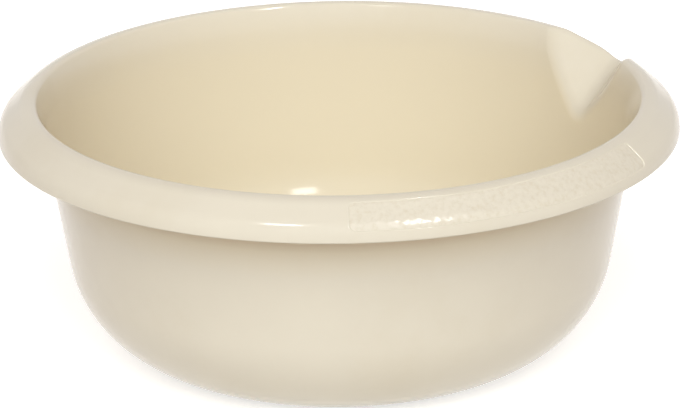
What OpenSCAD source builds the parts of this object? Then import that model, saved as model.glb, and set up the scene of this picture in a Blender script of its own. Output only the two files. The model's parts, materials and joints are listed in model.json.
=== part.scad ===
// Round washing up bowl, moulded in one piece of thin plastic.
// The moulding is drawn as the regions it is made of, each a closed solid
// that meets its neighbours face to face. Millimetres, Z up, origin in the
// middle of the face that the bowl stands on, pouring spout along +X.

/* [Bowl] */
// Diameter over the turned-down rim
rim_d = 360; // [320:1:420]
// Height from the standing face to the crest
bowl_h = 140; // [110:1:180]
// Thickness of the moulding
wall_t = 2; // [1.5:0.1:2.8]
// Lean of the wall from upright, degrees
wall_draft = 9.7; // [5:0.1:14]
// Outer radius of the turn from base to wall
corner_r = 62; // [30:1:75]

/* [Base] */
// Height of the recess under the base panel
base_recess = 1; // [0.5:0.1:1.4]
// Thickness of the base panel
base_t = 2.4; // [2:0.1:4]
// Width of the flat ring that the bowl stands on
foot_w = 12; // [6:0.5:20]

/* [Rim] */
// Width of the rim, from its crest to its outer edge
rim_w = 18; // [16:0.5:30]
// Height over which the wall flares out into the crest
flare_h = 8.4; // [6:0.1:12]
// Lean of the flare from upright, degrees
flare_lean = 25; // [16:1:35]
// Radius of the inner edge of the crest
crest_in_r = 3; // [3:0.1:5]
// Radius of the outer side of the crest
crest_out_r = 11; // [6:0.5:13]
// Fall of the rim between crest and bend, degrees below level
rim_slope = 39.5; // [32:0.5:45]
// Radius of the bend where the rim turns down
bend_r = 12; // [6:0.5:13]
// Length of the upright edge below the bend
skirt_l = 1.5; // [1.5:0.1:8]

/* [Pouring spout] */
// Depth below the crest at which the channel leaves the wall
spout_root_drop = 42; // [34:1:55]
// Depth below the crest at which the channel crosses the rim's outer edge
spout_lip_drop = 12.3; // [10:0.1:15]
// Half width of the channel at the crest, degrees round the bowl
spout_half_angle = 11.3; // [8:0.1:15]
// Radius of the hollow sides of the channel
flank_r = 80; // [60:1:120]
// Radius along the bottom of the channel
valley_r = 4; // [3:0.5:8]

/* [Grip panels] */
// Middle of each grip panel, degrees round the bowl from the spout
grip_turn = 89; // [80:1:100]
// Length of each grip panel, degrees round the bowl
grip_span = 59; // [30:1:70]
// Upper edge of the panel on the crest, degrees below level
grip_from = 30; // [15:1:30]
// Lower edge of the panel on the bend, degrees below level
grip_to = 66; // [55:1:80]
// Depth of the pocket that holds the panel
grip_pocket = 1; // [0.8:0.1:1.2]
// Thickness of the panel
grip_t = 0.6; // [0.4:0.1:0.7]

/* [Hidden] */

$fn = 180;
arc_steps = 8;
cream = [0.91, 0.87, 0.77];
cream_inside = [0.89, 0.84, 0.71];
cream_grip = [0.87, 0.83, 0.74];

rim_r = rim_d / 2;
crest_r = rim_r - rim_w;
// Inner face: its radius where the wall passes into the rim, and below
joint_z = bowl_h - flare_h;
joint_r = crest_r - crest_in_r * (1 / cos(flare_lean) - tan(flare_lean))
          - flare_h * tan(flare_lean);
function inner_r(z) = joint_r - (joint_z - z) * tan(wall_draft);
function outer_r(z) = inner_r(z) + wall_t / cos(wall_draft);

// Flat part of the base, up to the turn into the wall
flat_r = outer_r(corner_r) - corner_r / cos(wall_draft);
panel_r = flat_r - foot_w;

// Straight stretch of the rim between the crest and the bend, and the
// heights of the bend's centre and of the rim's lower edge
slope_run = rim_w - crest_out_r * sin(rim_slope) - bend_r * (1 - sin(rim_slope));
bend_z = bowl_h - crest_out_r * (1 - cos(rim_slope)) - slope_run * tan(rim_slope)
         - bend_r * cos(rim_slope);
edge_z = bend_z - skirt_l;

// Points of an arc; angles are from straight up, turning outwards
function arc(r0, z0, radius, from, to) =
    [for (i = [0 : arc_steps])
        let (a = from + (to - from) * i / arc_steps)
        [r0 + radius * sin(a), z0 + radius * cos(a)]];

function reversed(list) = [for (i = [len(list) - 1 : -1 : 0]) list[i]];

// Curves that follow the rim's outer skin at a depth below it
function crest_in(depth) =
    arc(crest_r, bowl_h - crest_in_r, crest_in_r - depth, flare_lean - 90, 0);
function crest_out(depth, from = 0) =
    arc(crest_r, bowl_h - crest_out_r, crest_out_r - depth, from, rim_slope);
function bend(depth, to = 90) =
    arc(rim_r - bend_r, bend_z, bend_r - depth, rim_slope, to);

// Band of the grip panel between two depths below the skin
function grip_band(near, far) = concat(
    crest_out(near, grip_from),
    bend(near, grip_to),
    reversed(bend(far, grip_to)),
    reversed(crest_out(far, grip_from)));

// Channel of the spout: an upright section across it, at a depth below
// its surface, of two hollow sides that meet in a rounded valley
root_z = bowl_h - spout_root_drop;
root_r = inner_r(root_z);
lip_z = bowl_h - spout_lip_drop;
spout_rise = atan2(lip_z - root_z, rim_r - root_r);
bank_y = crest_r * sin(spout_half_angle);
bank_up = (bowl_h - root_z) * cos(spout_rise)
          - (crest_r * cos(spout_half_angle) - root_r) * sin(spout_rise);
bank_chord = norm([bank_y, bank_up]);
bank_a = atan2(bank_up, bank_y);
flank_h = sqrt(flank_r * flank_r - bank_chord * bank_chord / 4);
flank_y = bank_y / 2 - flank_h * sin(bank_a);
flank_up = bank_up / 2 + flank_h * cos(bank_a);
valley_up = flank_up - sqrt(pow(flank_r - valley_r, 2) - flank_y * flank_y);
valley_a = atan2(-flank_y, flank_up - valley_up);
// How far the channel's cut runs inwards and outwards from its root
channel_back = spout_root_drop / 2;
channel_ahead = 2 * spout_root_drop;

function flank(depth) =
    [for (i = [0 : 2 * arc_steps])
        let (a = valley_a + (90 - valley_a) * i / (2 * arc_steps))
        [flank_y + (flank_r + depth) * sin(a), flank_up - (flank_r + depth) * cos(a)]];
function valley(depth) =
    [for (i = [1 : 2 * arc_steps - 1])
        let (a = -valley_a + valley_a * i / arc_steps)
        [(valley_r + depth) * sin(a), valley_up - (valley_r + depth) * cos(a)]];
function mirrored(list) = [for (p = list) [-p[0], p[1]]];

module channel(depth) {
    translate([root_r, 0, root_z])
        rotate([0, -spout_rise, 0])
            rotate([90, 0, 90])
                translate([0, 0, -channel_back])
                    linear_extrude(channel_back + channel_ahead)
                        polygon(concat(valley(depth), flank(depth),
                                       reversed(mirrored(flank(depth)))));
}

// Everything under the outer skin of the rim
module under_rim() {
    rotate_extrude()
        polygon(concat(
            [[0, 0], [rim_r, 0]],
            reversed(bend(0)),
            reversed(crest_out(0)),
            [[0, bowl_h]]));
}

// The hollow that holds the water, up to above the crest
module hollow() {
    rotate_extrude()
        polygon(concat(
            [[0, wall_t]],
            reversed(arc(flat_r, corner_r, corner_r - wall_t, 90 + wall_draft, 180)),
            [[inner_r(joint_z), joint_z]],
            crest_in(0),
            [[crest_r, 2 * bowl_h], [0, 2 * bowl_h]]));
}

module grip_ring(near, far) {
    rotate([0, 0, grip_turn - grip_span / 2])
        rotate_extrude(angle = grip_span)
            polygon(grip_band(near, far));
}

// Pockets for both panels, open at the skin
module grip_pockets() {
    grip_ring(-wall_t, grip_pocket);
    mirror([0, 1, 0])
        grip_ring(-wall_t, grip_pocket);
}

module base_panel() {
    color(cream_inside)
        translate([0, 0, base_recess])
            cylinder(r = panel_r, h = base_t);
}

module foot_ring() {
    color(cream)
        difference() {
            cylinder(r = flat_r, h = wall_t);
            translate([0, 0, -wall_t])
                cylinder(r = panel_r, h = 3 * wall_t);
        }
}

module bowl_wall() {
    color(cream_inside)
        difference() {
            rotate_extrude()
                polygon(concat(
                    reversed(arc(flat_r, corner_r, corner_r, 90 + wall_draft, 180)),
                    [[outer_r(joint_z), joint_z], [inner_r(joint_z), joint_z]],
                    arc(flat_r, corner_r, corner_r - wall_t, 90 + wall_draft, 180)));
            channel(wall_t);
        }
}

module rim_crown() {
    color(cream)
        difference() {
            rotate_extrude()
                polygon(concat(
                    [[inner_r(joint_z), joint_z]],
                    crest_in(0),
                    crest_out(0),
                    [bend(0)[0], bend(wall_t)[0]],
                    reversed(crest_out(wall_t)),
                    reversed(crest_in(wall_t)),
                    [[outer_r(joint_z), joint_z]]));
            channel(wall_t);
            grip_pockets();
        }
}

module rim_skirt() {
    color(cream)
        difference() {
            rotate_extrude()
                polygon(concat(
                    bend(0),
                    arc(rim_r - wall_t / 2, edge_z + wall_t / 2, wall_t / 2, 90, 270),
                    reversed(bend(wall_t))));
            channel(wall_t);
            grip_pockets();
        }
}

module pouring_spout() {
    color(cream_inside)
        difference() {
            intersection() {
                under_rim();
                channel(wall_t);
            }
            channel(0);
            hollow();
        }
}

module grip_panel_left() {
    color(cream_grip)
        grip_ring(grip_pocket - grip_t, grip_pocket);
}

module grip_panel_right() {
    mirror([0, 1, 0])
        grip_panel_left();
}

base_panel();
foot_ring();
bowl_wall();
rim_crown();
rim_skirt();
pouring_spout();
grip_panel_right();
grip_panel_left();
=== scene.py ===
import json
import math

import bpy
import numpy as np
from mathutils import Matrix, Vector, noise


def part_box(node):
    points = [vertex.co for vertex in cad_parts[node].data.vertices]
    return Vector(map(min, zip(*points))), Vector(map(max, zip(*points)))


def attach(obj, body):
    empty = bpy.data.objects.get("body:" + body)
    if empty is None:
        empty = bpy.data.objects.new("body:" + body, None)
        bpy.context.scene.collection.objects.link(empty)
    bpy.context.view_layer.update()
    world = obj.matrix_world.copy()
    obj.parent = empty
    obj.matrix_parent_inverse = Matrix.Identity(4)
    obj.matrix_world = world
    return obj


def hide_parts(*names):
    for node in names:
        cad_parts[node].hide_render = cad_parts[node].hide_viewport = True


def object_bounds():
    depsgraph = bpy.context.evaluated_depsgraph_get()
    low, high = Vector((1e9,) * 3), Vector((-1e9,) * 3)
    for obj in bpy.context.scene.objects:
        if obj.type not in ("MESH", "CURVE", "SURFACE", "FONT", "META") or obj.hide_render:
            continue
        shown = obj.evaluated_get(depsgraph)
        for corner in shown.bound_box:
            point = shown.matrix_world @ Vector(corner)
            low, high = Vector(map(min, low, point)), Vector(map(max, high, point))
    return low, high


# Round washing up bowl of cream plastic. Metres, in the frame of the packed
# model: Z up from the standing face, pouring spout along +X.
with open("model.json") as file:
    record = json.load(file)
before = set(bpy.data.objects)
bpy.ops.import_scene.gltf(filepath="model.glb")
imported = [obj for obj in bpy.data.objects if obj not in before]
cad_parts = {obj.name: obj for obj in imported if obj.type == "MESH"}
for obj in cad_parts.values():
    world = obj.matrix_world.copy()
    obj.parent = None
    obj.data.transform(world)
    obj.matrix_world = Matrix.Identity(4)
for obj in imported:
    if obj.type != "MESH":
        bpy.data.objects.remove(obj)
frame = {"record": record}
cad_low, cad_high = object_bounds()

# Bowl
BOWL_H = cad_high.z
RIM_R = min(cad_high.x - cad_low.x, cad_high.y - cad_low.y) / 2
WALL_T = 0.002
LEAN = math.radians(9.7)
CORNER_R = 0.062
PANEL_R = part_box("base_panel")[1].x
PANEL_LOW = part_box("base_panel")[0].z
PANEL_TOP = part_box("base_panel")[1].z

# Rim
CREST_R = RIM_R - 0.018
CREST_IN_R = 0.003
FLARE_H = 0.0084
FLARE_LEAN = math.radians(25)
FLARE_R = 0.048
CREST_OUT_R = 0.011
SLOPE = math.radians(39.5)
BEND_R = 0.012
SKIRT_L = 0.0015

# Pouring spout
ROOT_DROP = 0.042
LIP_DROP = 0.0123
HALF_ANGLE = math.radians(11.3)
FLANK_R = 0.080
VALLEY_R = 0.004
BANK_R = 0.0035
PATCH_HALF = math.radians(14.5)
PATCH_BELOW = 0.006
PATCH_STEP = math.radians(0.25)
FOCUS_IN = 0.012
FOCUS_BELOW = 0.013

# Grip panels
GRIP_TURN = math.radians(89)
GRIP_SPAN = math.radians(59)
GRIP_FROM = math.radians(30)
GRIP_TO = math.radians(66)
GRIP_CORNER_R = 0.003
POCKET_T = 0.001
POCKET_LIP = 0.0006
POCKET_BANK = 0.0014
PANEL_SINK = 0.0004
PEBBLE = 0.0026
PEBBLE_H = 0.00006
PEBBLE_FADE = 0.0012

# Painted bounce light kept on the mesh, which stays under any light: the inner face
# takes the warm colour of light bouncing inside the bowl down to this depth below the
# crest, and from there on has it all over
PAINTED_BOUNCE = (0.81, 0.735, 0.57)
PAINTED_BOUNCE_DROP = 0.028
SKIN_BAND = 0.0015

# Outside, a band of this height tucked under the rim takes painted shade: first the
# warm bounce colour, then the deeper painted shade, full on the rim's underside
PAINTED_SHADE = (0.705, 0.57, 0.4)
SHADE_BAND_H = 0.026
SHADE_BAND_GAIN = 2.5

# Camera, as seen from the bowl, and the picture it was fitted to
CAMERA_TURN = math.radians(-120)
CAMERA_RISE = math.radians(19.94)
CAMERA_ROLL = math.radians(-0.73)
CAMERA_D = 2.16
CAMERA_AIM_Z = 0.077
LENS_PX = 4049.8
PICTURE_W = 680
SENSOR_W = 36

# Light of the room, and of the soft window in it behind the camera
ROOM = (0.40, 0.345, 0.315)
WINDOW = (4.95, 5.1, 5.05)
WINDOW_RISE = math.radians(38)
WINDOW_SPREAD = math.radians(32)
FLOOR = (0.80, 0.79, 0.78)
FLOOR_GLOW = 0.62
FLOOR_R = 5

# Lamps, each for one highlight: turn, rise, width, height and power
KEY_LAMP = (math.radians(-142.5), math.radians(49), 0.28, 0.20, 4.6)
SIDE_LAMP = (math.radians(-87.5), math.radians(50), 0.13, 0.5, 12.0)
INNER_LAMP = (math.radians(-102), math.radians(31), 0.29, 0.20, 3.6)
LAMP_D = 1.6

# Worked out from the sizes above
flare_mouth_r = CREST_R - CREST_IN_R * (1 / math.cos(FLARE_LEAN) - math.tan(FLARE_LEAN))
mouth_r = flare_mouth_r - FLARE_H * (math.tan(FLARE_LEAN) - math.tan(LEAN))
slope_run = RIM_R - CREST_R - CREST_OUT_R * math.sin(SLOPE) - BEND_R * (1 - math.sin(SLOPE))
slope_l = slope_run / math.cos(SLOPE)
bend_z = (BOWL_H - CREST_OUT_R * (1 - math.cos(SLOPE)) - slope_run * math.tan(SLOPE)
          - BEND_R * math.cos(SLOPE))
foot_z = bend_z - SKIRT_L + WALL_T / 2


def inner_r(z):
    return mouth_r - (BOWL_H - z) * math.tan(LEAN)


# Arcs of the skin: centre, radius and angles from straight up, turning outwards
joint_z = BOWL_H - FLARE_H
flare_bite = FLARE_R * math.tan((FLARE_LEAN - LEAN) / 2)
flare_low = (inner_r(joint_z) - flare_bite * math.sin(LEAN), joint_z - flare_bite * math.cos(LEAN))
flare_c = (flare_low[0] + FLARE_R * math.cos(LEAN), flare_low[1] - FLARE_R * math.sin(LEAN))
FLARE = (flare_c, FLARE_R, LEAN - math.pi / 2, FLARE_LEAN - math.pi / 2)
CREST_IN = ((CREST_R, BOWL_H - CREST_IN_R), CREST_IN_R, FLARE_LEAN - math.pi / 2, 0)
CREST_OUT = ((CREST_R, BOWL_H - CREST_OUT_R), CREST_OUT_R, 0, SLOPE)
BEND = ((RIM_R - BEND_R, bend_z), BEND_R, SLOPE, math.pi / 2)

flat_r = inner_r(CORNER_R) + (WALL_T - CORNER_R) / math.cos(LEAN)
corner_top_z = CORNER_R - (CORNER_R - WALL_T) * math.sin(LEAN)
root_z = BOWL_H - ROOT_DROP
root_r = inner_r(root_z)
spout_rise = math.atan2(ROOT_DROP - LIP_DROP, RIM_R - root_r)
bank_y = CREST_R * math.sin(HALF_ANGLE)
bank_up = (ROOT_DROP * math.cos(spout_rise)
           - (CREST_R * math.cos(HALF_ANGLE) - root_r) * math.sin(spout_rise))
bank_chord = math.hypot(bank_y, bank_up)
flank_h = math.sqrt(FLANK_R ** 2 - bank_chord ** 2 / 4)
flank_y = bank_y / 2 - flank_h * bank_up / bank_chord
flank_up = bank_up / 2 + flank_h * bank_y / bank_chord
patch_z = root_z - PATCH_BELOW
slope_start = (CREST_R + CREST_OUT_R * math.sin(SLOPE),
               BOWL_H - CREST_OUT_R * (1 - math.cos(SLOPE)))
slope_stop = (RIM_R - BEND_R + BEND_R * math.sin(SLOPE), bend_z + BEND_R * math.cos(SLOPE))


# Distances, negative inside: the filled rim, cut by the hollow and the spout
def blend_max(a, b, radius):
    edge = np.hypot(np.maximum(a + radius, 0), np.maximum(b + radius, 0))
    return np.minimum(np.maximum(a, b), -radius) + edge


def skin_distance(r, z):
    """Distance from the top skin of the section, without the spout."""
    planes = [(*FLARE[:2], FLARE[2], FLARE[2]), (*BEND[:2], BEND[3], BEND[3])]
    nearest = []
    for centre, radius, start, stop in [FLARE, CREST_IN, CREST_OUT, BEND, *planes]:
        out, up = r - centre[0], z - centre[1]
        angle = np.clip(np.arctan2(out, up), start, stop)
        nearest.append(out * np.sin(angle) + up * np.cos(angle) - radius)
    return np.maximum.reduce(nearest)


def solid_distance(p):
    """Distance of points from the top face of the moulding."""
    x, y, z = p[..., 0], p[..., 1], p[..., 2]
    up = (z - root_z) * math.cos(spout_rise) - (x - root_r) * math.sin(spout_rise)
    flanks = [FLANK_R - np.hypot(y - side * flank_y, up - flank_up) for side in (1, -1)]
    channel = -blend_max(-flanks[0], -flanks[1], VALLEY_R)
    return blend_max(skin_distance(np.hypot(x, y), z), channel, BANK_R)


def gradient(p, step=2e-5):
    """Unit directions in which the distance grows."""
    slopes = []
    for axis in range(3):
        shift = np.zeros(3)
        shift[axis] = step
        slopes.append(solid_distance(p + shift) - solid_distance(p - shift))
    slopes = np.stack(slopes, -1)
    return slopes / np.linalg.norm(slopes, axis=-1, keepdims=True)


def settle(p, level):
    """Moves points that stand proud of a level of the distance down to it."""
    turn = np.arctan2(p[..., 1], p[..., 0])
    focus_r, focus_z = RIM_R - FOCUS_IN, root_z - FOCUS_BELOW
    focus = np.stack([focus_r * np.cos(turn), focus_r * np.sin(turn),
                      np.full(turn.shape, focus_z)], -1)
    near, far = np.zeros(turn.shape), np.ones(turn.shape)
    for _ in range(40):
        middle = (near + far) / 2
        above = solid_distance(p + (focus - p) * middle[..., None]) > level
        near, far = np.where(above, middle, near), np.where(above, far, middle)
    proud = solid_distance(p) > level + 1e-7
    return p + (focus - p) * np.where(proud, far, 0)[..., None]


# Rows of the section: its top face as radius and height, and its normals
def arc_rows(centre, radius, angles, sign=1):
    normals = np.stack([np.sin(angles), np.cos(angles)], -1)
    return np.array(centre) + radius * normals, sign * normals


def line_rows(start, stop, shares, normal):
    points = np.array(start) + np.outer(shares, np.subtract(stop, start))
    return points, np.tile(normal, (len(shares), 1))


def steps(start, stop, count):
    return np.linspace(start, stop, count + 1)


def with_extra(values, at, reach, count):
    """Values with a closer row of them around one of them."""
    return np.unique(np.round(np.concatenate([values, steps(at - reach, at + reach, count)]), 9))


def section(wall_rows):
    """The whole section as top points, under points, their normals and marks."""
    lean_in = (-math.cos(LEAN), math.sin(LEAN))
    flare_in = (-math.cos(FLARE_LEAN), math.sin(FLARE_LEAN))
    crest_low = np.add(CREST_IN[0], np.multiply(CREST_IN_R, flare_in))
    parts = {
        "foot_ring": [line_rows((PANEL_R, WALL_T), (flat_r, WALL_T), steps(0, 1, 3), (0, 1))],
        "bowl_wall": [
            arc_rows((flat_r, CORNER_R), CORNER_R - WALL_T,
                     steps(math.pi, math.pi / 2 + LEAN, 26)[1:], -1),
            line_rows((inner_r(corner_top_z), corner_top_z), (inner_r(patch_z), patch_z),
                      steps(0, 1, 6)[1:], lean_in),
            line_rows((inner_r(patch_z), patch_z), flare_low, steps(0, 1, wall_rows)[1:],
                      lean_in)],
        "rim_crown": [
            arc_rows(*FLARE[:2], steps(*FLARE[2:], 8)[1:]),
            line_rows(crest_low, crest_low, [1], flare_in),
            arc_rows(*CREST_IN[:2], steps(*CREST_IN[2:], 10)[1:]),
            arc_rows(*CREST_OUT[:2],
                     with_extra(steps(*CREST_OUT[2:], 10)[1:], GRIP_FROM, 0.06, 6)),
            line_rows(slope_start, slope_stop, steps(0, 1, 12)[1:],
                      (math.sin(SLOPE), math.cos(SLOPE)))],
        "rim_skirt": [
            arc_rows(*BEND[:2], with_extra(steps(*BEND[2:], 16)[1:], GRIP_TO, 0.06, 6)),
            line_rows((RIM_R, bend_z), (RIM_R, foot_z), [1], (1, 0)),
            arc_rows((RIM_R - WALL_T / 2, foot_z), WALL_T / 2,
                     steps(math.pi / 2, math.pi, 6)[1:])],
    }
    top = np.concatenate([rows[0] for group in parts.values() for rows in group])
    normal = np.concatenate([rows[1] for group in parts.values() for rows in group])
    under = top - WALL_T * normal
    under_normal = -normal
    tip = (top[:, 1] < foot_z - 1e-7) & (top[:, 0] > RIM_R - WALL_T)
    under[tip] = [2 * RIM_R - WALL_T, 0] + top[tip] * [-1, 1]
    under_normal[tip] = normal[tip] * [-1, 1]
    counts = [sum(len(rows[0]) for rows in group) for group in parts.values()]
    ends = dict(zip(parts, np.cumsum(counts) - 1))
    return top, normal, under, under_normal, ends


def columns():
    """Turns of the columns, closer at the spout and at the panels' ends."""
    fine_end, fine_step, plain_step = math.radians(2), math.radians(0.12), math.radians(1.5)
    ends = [GRIP_TURN - GRIP_SPAN / 2, GRIP_TURN + GRIP_SPAN / 2]
    ends += [2 * math.pi - end for end in reversed(ends)]
    stretches, start = [(-PATCH_HALF, PATCH_HALF, PATCH_STEP)], PATCH_HALF
    for end in ends:
        stretches += [(start, end - fine_end, plain_step),
                      (end - fine_end, end + fine_end, fine_step)]
        start = end + fine_end
    stretches.append((start, 2 * math.pi - PATCH_HALF, plain_step))
    return np.concatenate([np.linspace(a, b, math.ceil((b - a) / step - 1e-6), endpoint=False)
                           for a, b, step in stretches])


def spun(rows, turns):
    """Points, or normals, of section rows at each turn."""
    return np.stack([np.outer(rows[:, 0], np.cos(turns)), np.outer(rows[:, 0], np.sin(turns)),
                     np.repeat(rows[:, 1:2], len(turns), 1)], -1)


# Grip panels: u runs round the bowl, s down the rim's skin from the crest
grip_r = slope_start[0]
crest_l = CREST_OUT_R * SLOPE
grip_top_s = CREST_OUT_R * GRIP_FROM
grip_low_s = crest_l + slope_l + BEND_R * (GRIP_TO - SLOPE)
grip_half_u = GRIP_SPAN / 2 * grip_r
grip_half_s = (grip_low_s - grip_top_s) / 2
grip_mid_s = (grip_low_s + grip_top_s) / 2


def skin(s):
    """Point and normal of the rim's section at a length below the crest."""
    angle = np.where(s < crest_l, s / CREST_OUT_R,
                     np.maximum(SLOPE, SLOPE + (s - crest_l - slope_l) / BEND_R))
    normal = np.stack([np.sin(angle), np.cos(angle)], -1)
    on_crest = np.array([CREST_R, BOWL_H - CREST_OUT_R]) + CREST_OUT_R * normal
    on_bend = np.array([RIM_R - BEND_R, bend_z]) + BEND_R * normal
    along = np.clip(s - crest_l, 0, slope_l)[..., None] * [math.cos(SLOPE), -math.sin(SLOPE)]
    on_slope = np.array(slope_start) + along
    point = np.where((s < crest_l)[..., None], on_crest,
                     np.where((s > crest_l + slope_l)[..., None], on_bend, on_slope))
    return point, normal


def skin_length(r, z):
    """Length below the crest of points on the rim's skin."""
    on_crest = np.arctan2(r - CREST_R, z - BOWL_H + CREST_OUT_R)
    on_bend = np.arctan2(r - RIM_R + BEND_R, z - bend_z)
    on_slope = (r - slope_start[0]) / math.cos(SLOPE)
    lower = np.where(on_bend > SLOPE, slope_l + BEND_R * (on_bend - SLOPE), on_slope)
    return np.where(on_crest < SLOPE, CREST_OUT_R * on_crest, crest_l + lower)


def outline_distance(u, s):
    """Distance from the panel's rounded outline, negative inside."""
    across = np.abs(u) - grip_half_u + GRIP_CORNER_R
    down = np.abs(s - grip_mid_s) - grip_half_s + GRIP_CORNER_R
    return (np.hypot(np.maximum(across, 0), np.maximum(down, 0))
            + np.minimum(np.maximum(across, down), 0) - GRIP_CORNER_R)


def pocket_depth(u, s):
    share = np.clip((POCKET_LIP - outline_distance(u, s)) / POCKET_BANK, 0, 1)
    return POCKET_T * share * share * (3 - 2 * share)


def slopes_of(depth, u, s, step=2e-5):
    return ((depth(u + step, s) - depth(u - step, s)) / (2 * step),
            (depth(u, s + step) - depth(u, s - step)) / (2 * step))


def sink(points, normals, turns, depth, u, s):
    """Points and normals on the rim's skin, sunk by a depth along u and s."""
    along_u = np.stack([-np.sin(turns), np.cos(turns), np.zeros(turns.shape)], -1)
    along_s = np.cross(along_u, normals)
    slope_u, slope_s = slopes_of(depth, u, s)
    tilted = normals + slope_u[..., None] * along_u + slope_s[..., None] * along_s
    return (points - depth(u, s)[..., None] * normals,
            tilted / np.linalg.norm(tilted, axis=-1, keepdims=True))


def painted_light_share(points, is_top):
    """Share of the painted bounce light: down the inner face, and under the rim outside.

    From 1 to 2 it passes into the painted shade of the tucked band under the rim."""
    r, z = np.hypot(points[..., 0], points[..., 1]), points[..., 2]
    if is_top:
        on_skin = np.clip(1 + skin_distance(r, z) / SKIN_BAND, 0, 1)
        return np.where(r < CREST_R, on_skin * np.clip((BOWL_H - z) / PAINTED_BOUNCE_DROP, 0, 1), 0)
    return np.where(r < CREST_R, np.clip(SHADE_BAND_GAIN * (z - foot_z + SHADE_BAND_H) / SHADE_BAND_H, 0, 2), 2)


# Meshes
def shell_piece(name, top, top_n, under, under_n, cells, closed=False, joined_end=False):
    """A closed piece of the moulding between a grid of top and under points."""
    rows, cols = top.shape[:2]
    at = np.arange(rows * cols).reshape(rows, cols)
    low = at + rows * cols
    if joined_end:
        low[-1] = at[-1]
    r, c = np.nonzero(cells)
    d = (c + 1) % cols
    faces = [np.stack([at[r, c], at[r + 1, c], at[r + 1, d], at[r, d]], 1),
             np.stack([low[r, c], low[r, d], low[r + 1, d], low[r + 1, c]], 1)]
    padded = np.pad(cells, 1)
    if closed:
        padded[:, 0], padded[:, -1] = padded[:, -2], padded[:, 1]
    sides = {(-1, 0): (0, 0, 0, 1), (1, 0): (1, 1, 1, 0), (0, -1): (1, 0, 0, 0),
             (0, 1): (0, 1, 1, 1)}
    for (dr, dc), (r0, c0, r1, c1) in sides.items():
        open_side = ~padded[r + 1 + dr, c + 1 + dc]
        rr, cc, dd = r[open_side], c[open_side], d[open_side]
        a = (rr + r0, dd if c0 else cc)
        b = (rr + r1, dd if c1 else cc)
        wall = np.stack([at[a], at[b], low[b], low[a]], 1)
        faces.append(wall[wall[:, 0] != wall[:, 3]])
    points = np.concatenate([top.reshape(-1, 3), under.reshape(-1, 3)])
    normals = np.concatenate([top_n.reshape(-1, 3), under_n.reshape(-1, 3)])
    loops = np.concatenate(faces)
    smooth = normals[loops]
    walls = loops[2 * len(faces[0]):]
    if len(walls):
        corner = points[walls]
        flat = np.cross(corner[:, 2] - corner[:, 0], corner[:, 3] - corner[:, 1])
        flat /= np.maximum(np.linalg.norm(flat, axis=1, keepdims=True), 1e-12)
        smooth[2 * len(faces[0]):] = flat[:, None]
    used, index = np.unique(loops, return_inverse=True)
    mesh = bpy.data.meshes.new(name)
    mesh.from_pydata(points[used].tolist(), [], index.reshape(-1, 4).tolist())
    # Share of painted bounce light and painted shade at each point
    shares = np.concatenate([painted_light_share(top, True).ravel(), painted_light_share(under, False).ravel()])[used]
    mesh.attributes.new("painted_light_share", "FLOAT", "POINT").data.foreach_set("value", shares)
    mesh.polygons.foreach_set("use_smooth", np.ones(len(mesh.polygons), bool))
    mesh.normals_split_custom_set(smooth.reshape(-1, 3).tolist())
    return placed(name, mesh)


def placed(name, mesh):
    piece = bpy.data.objects.new(name, mesh)
    bpy.context.scene.collection.objects.link(piece)
    return piece


def moulding_pieces():
    """Foot ring, wall, rim crown and rim skirt, with the spout's patch left out."""
    turns = columns()
    top, normal, under, under_normal, ends = section(wall_rows=3)
    low, high = spun(under, turns), spun(top, turns)
    low_n, high_n = spun(under_normal, turns), spun(normal, turns)
    on_rim = (top[:, 0] > CREST_R) & (top[:, 1] > bend_z - 1e-6)
    s = skin_length(top[on_rim, 0], top[on_rim, 1])[:, None] + 0 * turns
    for side in (1, -1):
        away = (side * turns + math.pi) % (2 * math.pi) - math.pi - GRIP_TURN
        u = away[None, :] * grip_r + 0 * s
        spin = turns[None, :] + 0 * s
        high[on_rim], high_n[on_rim] = sink(high[on_rim], high_n[on_rim], spin, pocket_depth,
                                            u * side, s)
    patch = np.abs((turns + math.pi) % (2 * math.pi) - math.pi + 1e-9) < PATCH_HALF
    first = int(np.argmin(np.abs(top[:, 1] - patch_z) + (top[:, 0] > CREST_R)))
    last = int(np.argmin(np.abs(top[:, 1] - foot_z) + (top[:, 0] < CREST_R)))
    pieces, start = {}, 0
    for name, end in ends.items():
        cells = np.zeros((len(top) - 1, len(turns)), bool)
        cells[start:end] = True
        cells[first:last, patch] = False
        pieces[name] = shell_piece(name + "_skin", high, high_n, low, low_n, cells,
                                   closed=True, joined_end=True)
        start = end
    return pieces


def spout_piece():
    """The patch of wall and rim that the channel of the spout runs through."""
    count = math.ceil(2 * PATCH_HALF / PATCH_STEP - 1e-6)
    turns = steps(-PATCH_HALF, PATCH_HALF, count)
    top, normal, under, under_normal, _ = section(wall_rows=72)
    first = int(np.argmin(np.abs(top[:, 1] - patch_z) + (top[:, 0] > CREST_R)))
    last = int(np.argmin(np.abs(top[:, 1] - foot_z) + (top[:, 0] < CREST_R)))
    rows = slice(first, last + 1)
    high = settle(spun(top[rows], turns), 0)
    low = settle(spun(under[rows], turns), -WALL_T)
    cells = np.ones((last - first, len(turns)), bool)
    cells[:, -1] = False
    return shell_piece("pouring_spout_skin", high, gradient(high), low, -gradient(low), cells)


def rounded_grid(count_u, count_s):
    """A grid over the panel whose border follows its rounded outline."""
    u = steps(-1, 1, count_u)[None, :] * grip_half_u + np.zeros((count_s + 1, 1))
    v = steps(-1, 1, count_s)[:, None] * grip_half_s + np.zeros((1, count_u + 1))
    a = np.maximum(np.abs(u) - grip_half_u + GRIP_CORNER_R, 0) / GRIP_CORNER_R
    b = np.maximum(np.abs(v) - grip_half_s + GRIP_CORNER_R, 0) / GRIP_CORNER_R
    moved_u = np.abs(u) + GRIP_CORNER_R * a * (np.sqrt(1 - b * b / 2) - 1)
    moved_v = np.abs(v) + GRIP_CORNER_R * b * (np.sqrt(1 - a * a / 2) - 1)
    return np.sign(u) * moved_u, np.sign(v) * moved_v + grip_mid_s


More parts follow.
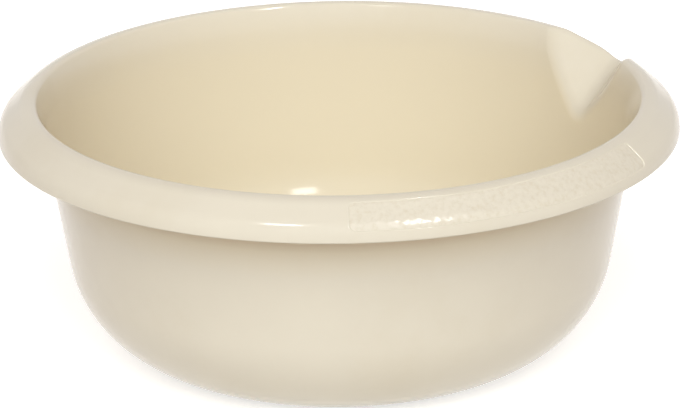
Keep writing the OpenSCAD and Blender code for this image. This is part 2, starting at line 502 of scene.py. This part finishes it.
def pebble(u, s):
    """Height of the moulded grain, from about -1 in its hollows to 1 on its bumps."""
    slice_of_noise, usual_peak = Vector((0, 0, 7.3)), 0.45
    heights = np.empty(u.shape)
    for index in np.ndindex(u.shape):
        spot = Vector((u[index], s[index], 0)) / PEBBLE
        heights[index] = noise.noise(spot + slice_of_noise)
    return np.clip(heights / usual_peak, -1, 1)


def grip_piece(side):
    """One textured panel; side 1 is the left one and -1 the right one."""
    u, s = rounded_grid(360, 44)
    flat = np.clip(-outline_distance(u, s) / PEBBLE_FADE, 0, 1)
    other_grain = 3 * side
    height = PEBBLE_H * flat * pebble(u + other_grain, s)
    depth = PANEL_SINK - height
    turns = side * (GRIP_TURN + u / grip_r)
    point, normal = skin(s)

    def turned(rows):
        return np.stack([rows[..., 0] * np.cos(turns), rows[..., 0] * np.sin(turns),
                         rows[..., 1]], -1)

    top = turned(point - depth[..., None] * normal)
    under = turned(point - POCKET_T * normal)
    normals = turned(normal)
    if side < 0:
        top, under, normals = top[:, ::-1], under[:, ::-1], normals[:, ::-1]
    cells = np.ones((u.shape[0] - 1, u.shape[1]), bool)
    cells[:, -1] = False
    name = "grip_panel_left" if side > 0 else "grip_panel_right"
    return shell_piece(name + "_skin", top, grid_normals(top), under, -normals, cells)


def grid_normals(points):
    """Normals of a grid of points, from its own neighbours."""
    normals = np.cross(np.gradient(points, axis=0), np.gradient(points, axis=1))
    return normals / np.linalg.norm(normals, axis=-1, keepdims=True)


def base_piece():
    """The raised panel of the base, with its soft step and its gate mark."""
    share = steps(0, 1, 10)
    step_w, centre_r = 0.006, 0.006
    soft = share * share * (3 - 2 * share)
    outline = [(r, PANEL_TOP) for r in steps(centre_r, PANEL_R - step_w, 6)]
    outline += [(PANEL_R - step_w * (1 - a), PANEL_TOP - (PANEL_TOP - WALL_T) * b)
                for a, b in zip(share[1:], soft[1:])]
    gate_r, gate_low, dimple_r, dimple = 0.0015, 0.0003, 0.006, 0.0004
    outline += [(PANEL_R, PANEL_LOW), (dimple_r, PANEL_LOW),
                (dimple_r - dimple, PANEL_LOW + dimple), (gate_r, PANEL_LOW + dimple),
                (gate_r, PANEL_LOW - gate_low)]
    turns = np.linspace(0, 2 * math.pi, 180, endpoint=False)
    points = spun(np.array(outline), turns)
    rows, cols = points.shape[:2]
    at = np.arange(rows * cols).reshape(rows, cols)
    nxt = np.roll(at, -1, 1)
    faces = np.stack([at[:-1], at[1:], nxt[1:], nxt[:-1]], -1).reshape(-1, 4).tolist()
    top_centre, low_centre = rows * cols, rows * cols + 1
    faces += [[top_centre, a, b] for a, b in zip(at[0], nxt[0])]
    faces += [[low_centre, b, a] for a, b in zip(at[-1], nxt[-1])]
    centres = [(0, 0, outline[0][1]), (0, 0, outline[-1][1])]
    mesh = bpy.data.meshes.new("base_panel_skin")
    mesh.from_pydata(points.reshape(-1, 3).tolist() + centres, [],
                     [[int(i) for i in f] for f in faces])
    # Painted bounce light over the base panel's top face, inside the bowl
    shares = [float(v.co.z > PANEL_LOW + 1e-6) for v in mesh.vertices]
    mesh.attributes.new("painted_light_share", "FLOAT", "POINT").data.foreach_set("value", shares)
    mesh.shade_smooth()
    mesh.set_sharp_from_angle(angle=math.radians(35))
    return placed("base_panel_skin", mesh)


# Materials
class Nodes:
    """Short names for the nodes of one material."""

    def __init__(self, name):
        self.material = bpy.data.materials.new(name)
        self.material.use_nodes = True
        self.tree = self.material.node_tree
        self.shader = self.tree.nodes["Principled BSDF"]
        self.place = self.add("ShaderNodeTexCoord").outputs["Object"]

    def add(self, kind, **inputs):
        node = self.tree.nodes.new(kind)
        for key, value in inputs.items():
            node.inputs[key.replace("_", " ")].default_value = value
        return node

    def link(self, start, end):
        self.tree.links.new(start, end)

    def noise(self, scale, detail=3.0, roughness=0.5):
        node = self.add("ShaderNodeTexNoise", Scale=scale, Detail=detail, Roughness=roughness)
        self.link(self.place, node.inputs["Vector"])
        return node.outputs["Fac"]

    def ranged(self, value, low, high):
        node = self.add("ShaderNodeMapRange", To_Min=low, To_Max=high)
        self.link(value, node.inputs["Value"])
        return node.outputs["Result"]

    def ramp(self, value, stops):
        node = self.add("ShaderNodeValToRGB")
        while len(node.color_ramp.elements) < len(stops):
            node.color_ramp.elements.new(0.5)
        for element, (position, colour) in zip(node.color_ramp.elements, stops):
            element.position = position
            element.color = (*colour, 1)
        self.link(value, node.inputs["Fac"])
        return node.outputs["Color"]

    def with_painted_light(self, colour):
        """Colour that turns to the painted bounce light, then to the painted shade, by the mesh's
        own share of them.
        """
        share = self.add("ShaderNodeAttribute")
        share.attribute_name = "painted_light_share"
        into_shade = self.add("ShaderNodeMath")
        into_shade.operation = "SUBTRACT"
        into_shade.inputs[1].default_value = 1
        self.link(share.outputs["Fac"], into_shade.inputs[0])
        # Painted bounce light first, then past a share of 1 the painted shade under the rim
        for tint, factor in ((PAINTED_BOUNCE, share.outputs["Fac"]), (PAINTED_SHADE, into_shade.outputs[0])):
            mix = self.add("ShaderNodeMix")
            mix.data_type = "RGBA"
            mix.inputs["B"].default_value = (*tint, 1)
            self.link(factor, mix.inputs["Factor"])
            self.link(colour, mix.inputs["A"])
            colour = mix.outputs["Result"]
        return colour

    def bump(self, height, strength, distance, before=None):
        node = self.add("ShaderNodeBump", Strength=strength, Distance=distance)
        self.link(height, node.inputs["Height"])
        if before:
            self.link(before, node.inputs["Normal"])
        return node.outputs["Normal"]


def plastic(name, colour, rough_low, rough_high, cloud_scale=14, clouds_and_grain_shade=1):
    """Cream polypropylene: clouded colour, uneven gloss and a moulded skin. On the grip the
    clouds are grain-sized and stronger, partly painted shade of the grain's bumps.
    Its colour carries the painted bounce light and shade kept on the mesh. The level of
    its gloss is held under the 0.5 that is true to its index."""
    n = Nodes(name)
    darker = tuple(c * (1 - clouds_and_grain_shade * k) for c, k in zip(colour, (0.028, 0.038, 0.06)))
    lighter = tuple(c * (1 + clouds_and_grain_shade * 0.018) for c in colour)
    clouds = n.ramp(n.noise(cloud_scale, 5, 0.6), [(0.3, darker), (0.5, colour), (0.72, lighter)])
    # Base colour with the painted bounce light and shade laid over the clouds
    n.link(n.with_painted_light(clouds), n.shader.inputs["Base Color"])
    n.link(n.ranged(n.noise(60, 4, 0.65), rough_low, rough_high), n.shader.inputs["Roughness"])
    soft = n.bump(n.noise(38, 2), 0.10, 0.0006)
    n.link(n.bump(n.noise(900, 3), 0.2, 0.00004, soft), n.shader.inputs["Normal"])
    n.shader.inputs["IOR"].default_value = 1.49
    n.shader.inputs["Specular IOR Level"].default_value = 0.3
    return n.material


def dress(pieces):
    looks = {
        "bowl_plastic": plastic("bowl_plastic", (0.79, 0.737, 0.617), 0.08, 0.15),
        "rim_plastic": plastic("rim_plastic", (0.79, 0.737, 0.617), 0.08, 0.15),
        # On the grip the clouds are grain-sized and twice as strong: besides the plastic's own
        # clouded tone they are painted shade of the grain's bumps
        "grip_plastic": plastic("grip_plastic", (0.79, 0.737, 0.62), 0.18, 0.24, 1 / PEBBLE, 2),
    }
    slots = {row["node"]: row["material_slot"] for row in frame["record"]["subparts"]}
    for node, piece in pieces.items():
        piece.data.materials.append(looks[slots[node]])
        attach(piece, "root")
        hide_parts(node)


# Stage
def from_bowl(turn, rise, distance, aim_z):
    return Vector((math.cos(turn) * math.cos(rise), math.sin(turn) * math.cos(rise),
                   math.sin(rise))) * distance + Vector((0, 0, aim_z))


def shown_mix(tree, lit, shown):
    """Shader that the camera, gloss and glass see as shown, and light as lit."""
    path = tree.nodes.new("ShaderNodeLightPath")
    seen = tree.nodes.new("ShaderNodeMath")
    seen.operation = "ADD"
    seen_all = tree.nodes.new("ShaderNodeMath")
    seen_all.operation = "ADD"
    seen_all.use_clamp = True
    mix = tree.nodes.new("ShaderNodeMixShader")
    tree.links.new(path.outputs["Is Camera Ray"], seen.inputs[0])
    tree.links.new(path.outputs["Is Glossy Ray"], seen.inputs[1])
    tree.links.new(seen.outputs[0], seen_all.inputs[0])
    tree.links.new(path.outputs["Is Transmission Ray"], seen_all.inputs[1])
    tree.links.new(seen_all.outputs[0], mix.inputs["Fac"])
    tree.links.new(lit, mix.inputs[1])
    tree.links.new(shown, mix.inputs[2])
    return mix.outputs[0]


def make_floor():
    bpy.ops.mesh.primitive_circle_add(vertices=96, radius=FLOOR_R, fill_type="NGON")
    floor = bpy.context.object
    floor.name = "floor"
    material = bpy.data.materials.new("floor")
    material.use_nodes = True
    tree = material.node_tree
    tree.nodes.clear()
    lit = tree.nodes.new("ShaderNodeBsdfDiffuse")
    lit.inputs["Color"].default_value = (*FLOOR, 1)
    glow = tree.nodes.new("ShaderNodeEmission")
    glow.inputs["Strength"].default_value = FLOOR_GLOW
    both = tree.nodes.new("ShaderNodeAddShader")
    tree.links.new(lit.outputs[0], both.inputs[0])
    tree.links.new(glow.outputs[0], both.inputs[1])
    out = tree.nodes.new("ShaderNodeOutputMaterial")
    tree.links.new(shown_mix(tree, lit.outputs[0], both.outputs[0]), out.inputs["Surface"])
    floor.data.materials.append(material)


def make_world():
    """A warm room with a wide soft window behind the camera, white where it is seen."""
    world = bpy.data.worlds.new("studio")
    bpy.context.scene.world = world
    world.use_nodes = True
    tree = world.node_tree
    tree.nodes.clear()
    place = tree.nodes.new("ShaderNodeTexCoord")
    facing = tree.nodes.new("ShaderNodeVectorMath")
    facing.operation = "DOT_PRODUCT"
    facing.inputs[1].default_value = from_bowl(CAMERA_TURN, WINDOW_RISE, 1, 0)
    window = tree.nodes.new("ShaderNodeMapRange")
    window.interpolation_type = "SMOOTHSTEP"
    window.inputs["From Min"].default_value = math.cos(WINDOW_SPREAD)
    light = tree.nodes.new("ShaderNodeMix")
    light.data_type = "RGBA"
    light.inputs["A"].default_value = (*ROOM, 1)
    light.inputs["B"].default_value = (*WINDOW, 1)
    lit = tree.nodes.new("ShaderNodeBackground")
    shown = tree.nodes.new("ShaderNodeBackground")
    shown.inputs["Color"].default_value = (1, 1, 1, 1)
    out = tree.nodes.new("ShaderNodeOutputWorld")
    tree.links.new(place.outputs["Generated"], facing.inputs[0])
    tree.links.new(facing.outputs["Value"], window.inputs["Value"])
    tree.links.new(window.outputs["Result"], light.inputs["Factor"])
    tree.links.new(light.outputs["Result"], lit.inputs["Color"])
    tree.links.new(shown_mix(tree, lit.outputs[0], shown.outputs[0]), out.inputs["Surface"])


def make_lamp(name, turn, rise, width, height, power, shown_on):
    """A small lamp that draws one highlight, in the gloss of the pieces given."""
    lamp = bpy.data.lights.new(name, "AREA")
    lamp.shape = "RECTANGLE"
    lamp.size, lamp.size_y = width, height
    lamp.energy = power
    holder = bpy.data.objects.new(name, lamp)
    bpy.context.scene.collection.objects.link(holder)
    holder.location = from_bowl(turn, rise, LAMP_D, BOWL_H)
    holder.rotation_euler = (Vector((0, 0, BOWL_H)) - holder.location).to_track_quat(
        "-Z", "Y").to_euler()
    holder.visible_diffuse = False
    lit = bpy.data.collections.new(name + "_shown_on")
    for piece in shown_on:
        lit.objects.link(piece)
    holder.light_linking.receiver_collection = lit


def make_camera():
    camera = bpy.data.objects.new("camera", bpy.data.cameras.new("camera"))
    bpy.context.scene.collection.objects.link(camera)
    camera.data.sensor_width = SENSOR_W
    camera.data.lens = LENS_PX * SENSOR_W / PICTURE_W
    aim = Vector((0, 0, CAMERA_AIM_Z))
    camera.location = from_bowl(CAMERA_TURN, CAMERA_RISE, CAMERA_D, CAMERA_AIM_Z)
    turn = (aim - camera.location).to_track_quat("-Z", "Y")
    camera.rotation_euler = turn.to_euler()
    camera.rotation_euler.rotate_axis("Z", CAMERA_ROLL)
    bpy.context.scene.camera = camera


make_camera()
make_floor()
make_world()

pieces = moulding_pieces()
pieces["pouring_spout"] = spout_piece()
pieces["grip_panel_left"] = grip_piece(1)
pieces["grip_panel_right"] = grip_piece(-1)
pieces["base_panel"] = base_piece()
rim = [pieces[name] for name in ("rim_crown", "rim_skirt", "grip_panel_right")]
make_lamp("key", *KEY_LAMP, rim)
make_lamp("side", *SIDE_LAMP, rim)
make_lamp("inner", *INNER_LAMP, [pieces["bowl_wall"]])
dress(pieces)

bpy.context.scene.view_settings.view_transform = "Standard"
